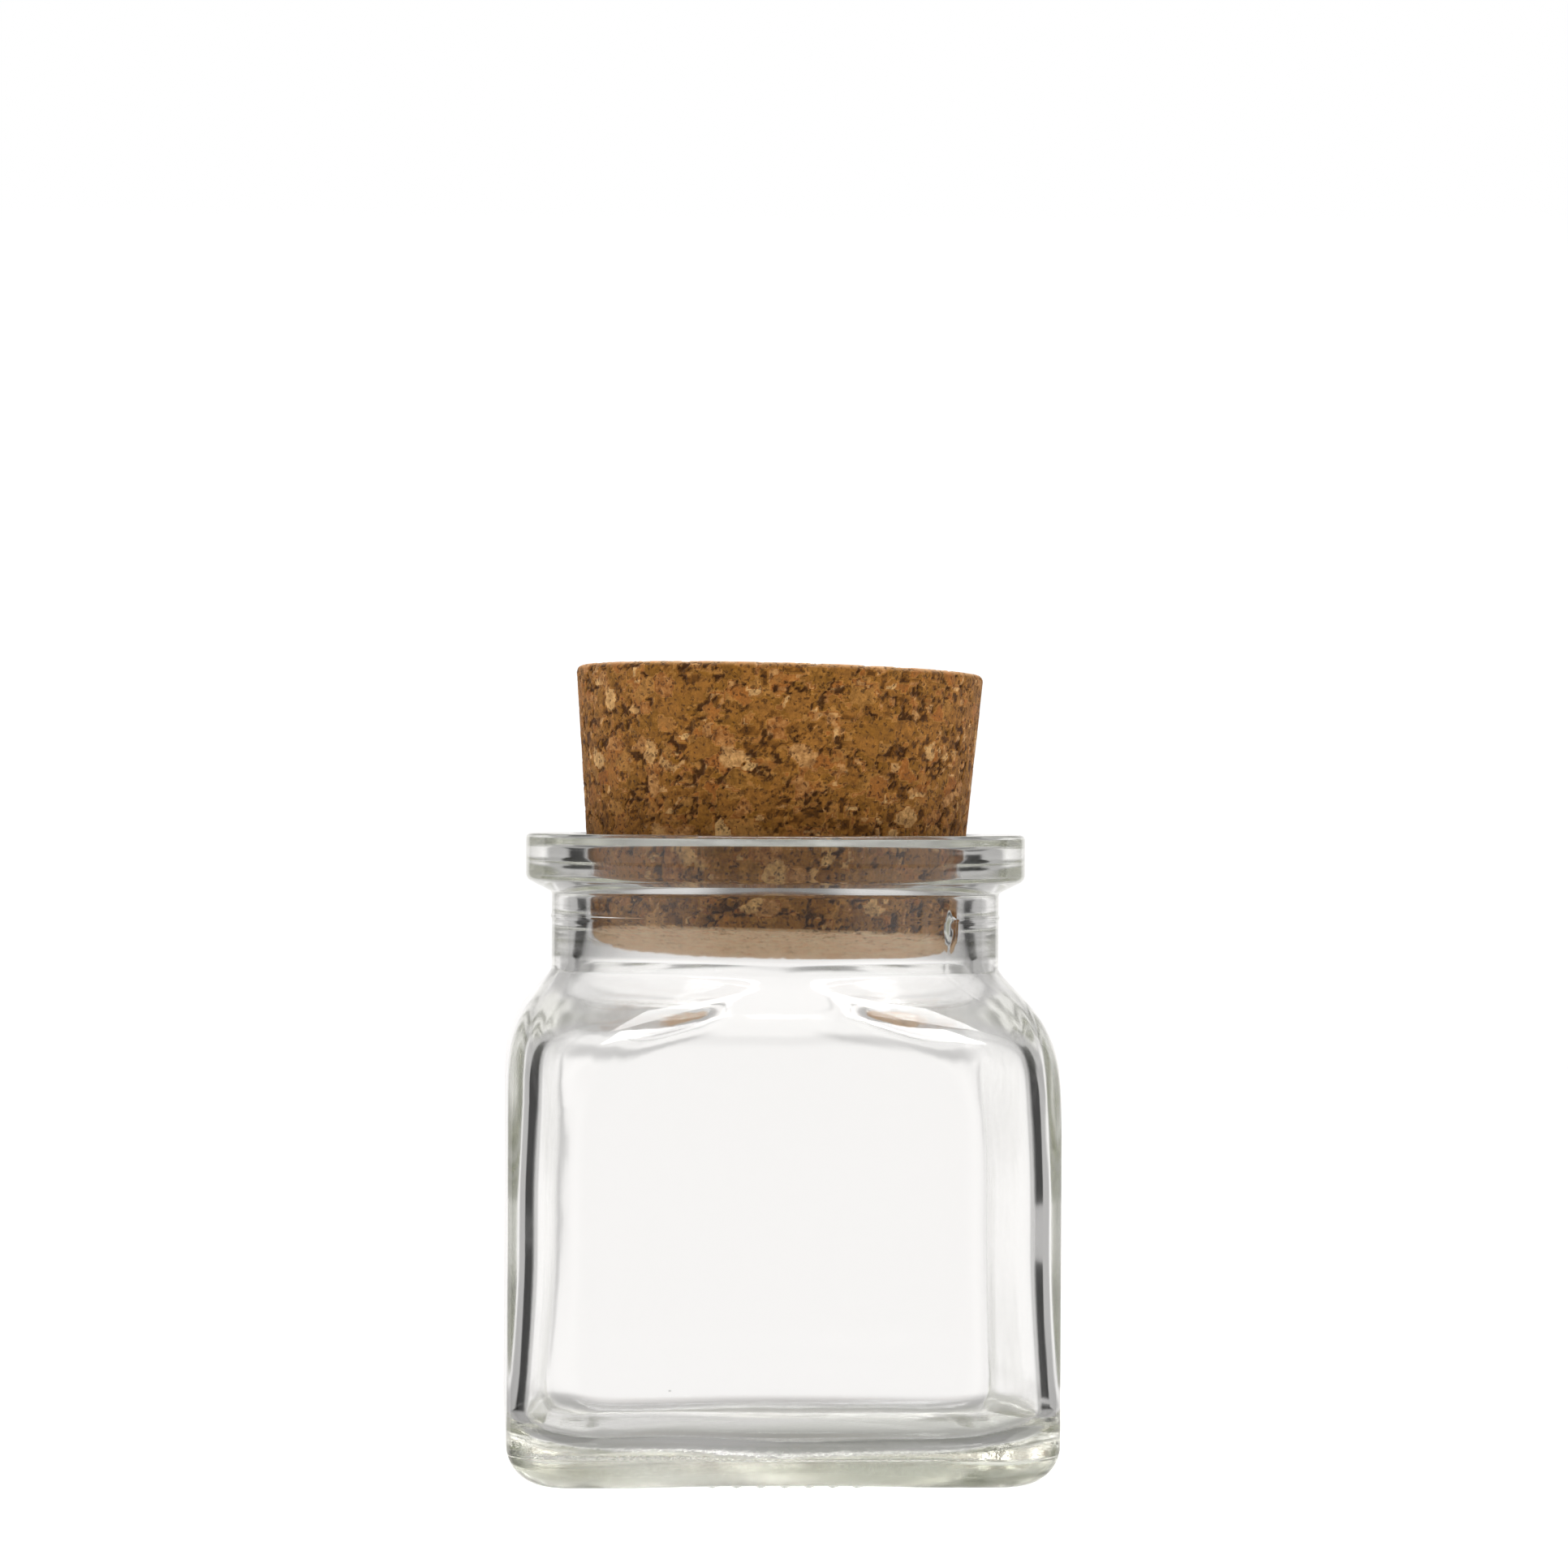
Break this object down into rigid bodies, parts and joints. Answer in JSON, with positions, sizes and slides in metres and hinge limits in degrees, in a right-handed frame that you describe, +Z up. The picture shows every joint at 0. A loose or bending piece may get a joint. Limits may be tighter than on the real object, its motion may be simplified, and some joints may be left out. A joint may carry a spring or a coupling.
{
  "type": "corked glass jar",
  "caption": "Small square clear-glass jar with rounded corners, a round neck, a beaded rim and a tapered stopper of glued cork granules.",
  "frame": {"origin": "centre of the jar's footprint, on the plane it stands on, under the axis of the neck", "axes": "+Z up along the axis of the neck, towards the stopper; the four flat sides face +X, -X, +Y and -Y, and the picture looks at the -Y side from a few degrees towards -X"},
  "size_m": [0.0516, 0.0516, 0.0767],
  "materials": {
    "clear_glass": "clear moulded soda-lime glass, fire-polished, faint green where it is thick",
    "cork": "glued cork granules, sanded, dry and matt"
  },
  "bodies": {
    "jar": {"glass_jar": "clear_glass"},
    "stopper": {"cork_stopper": "cork"}
  },
  "joints": [
    {"name": "stopper_pull", "type": "slide", "parent": "jar", "child": "stopper", "axis": [0, 0, 1], "range_m": [0, 0.03]}
  ]
}
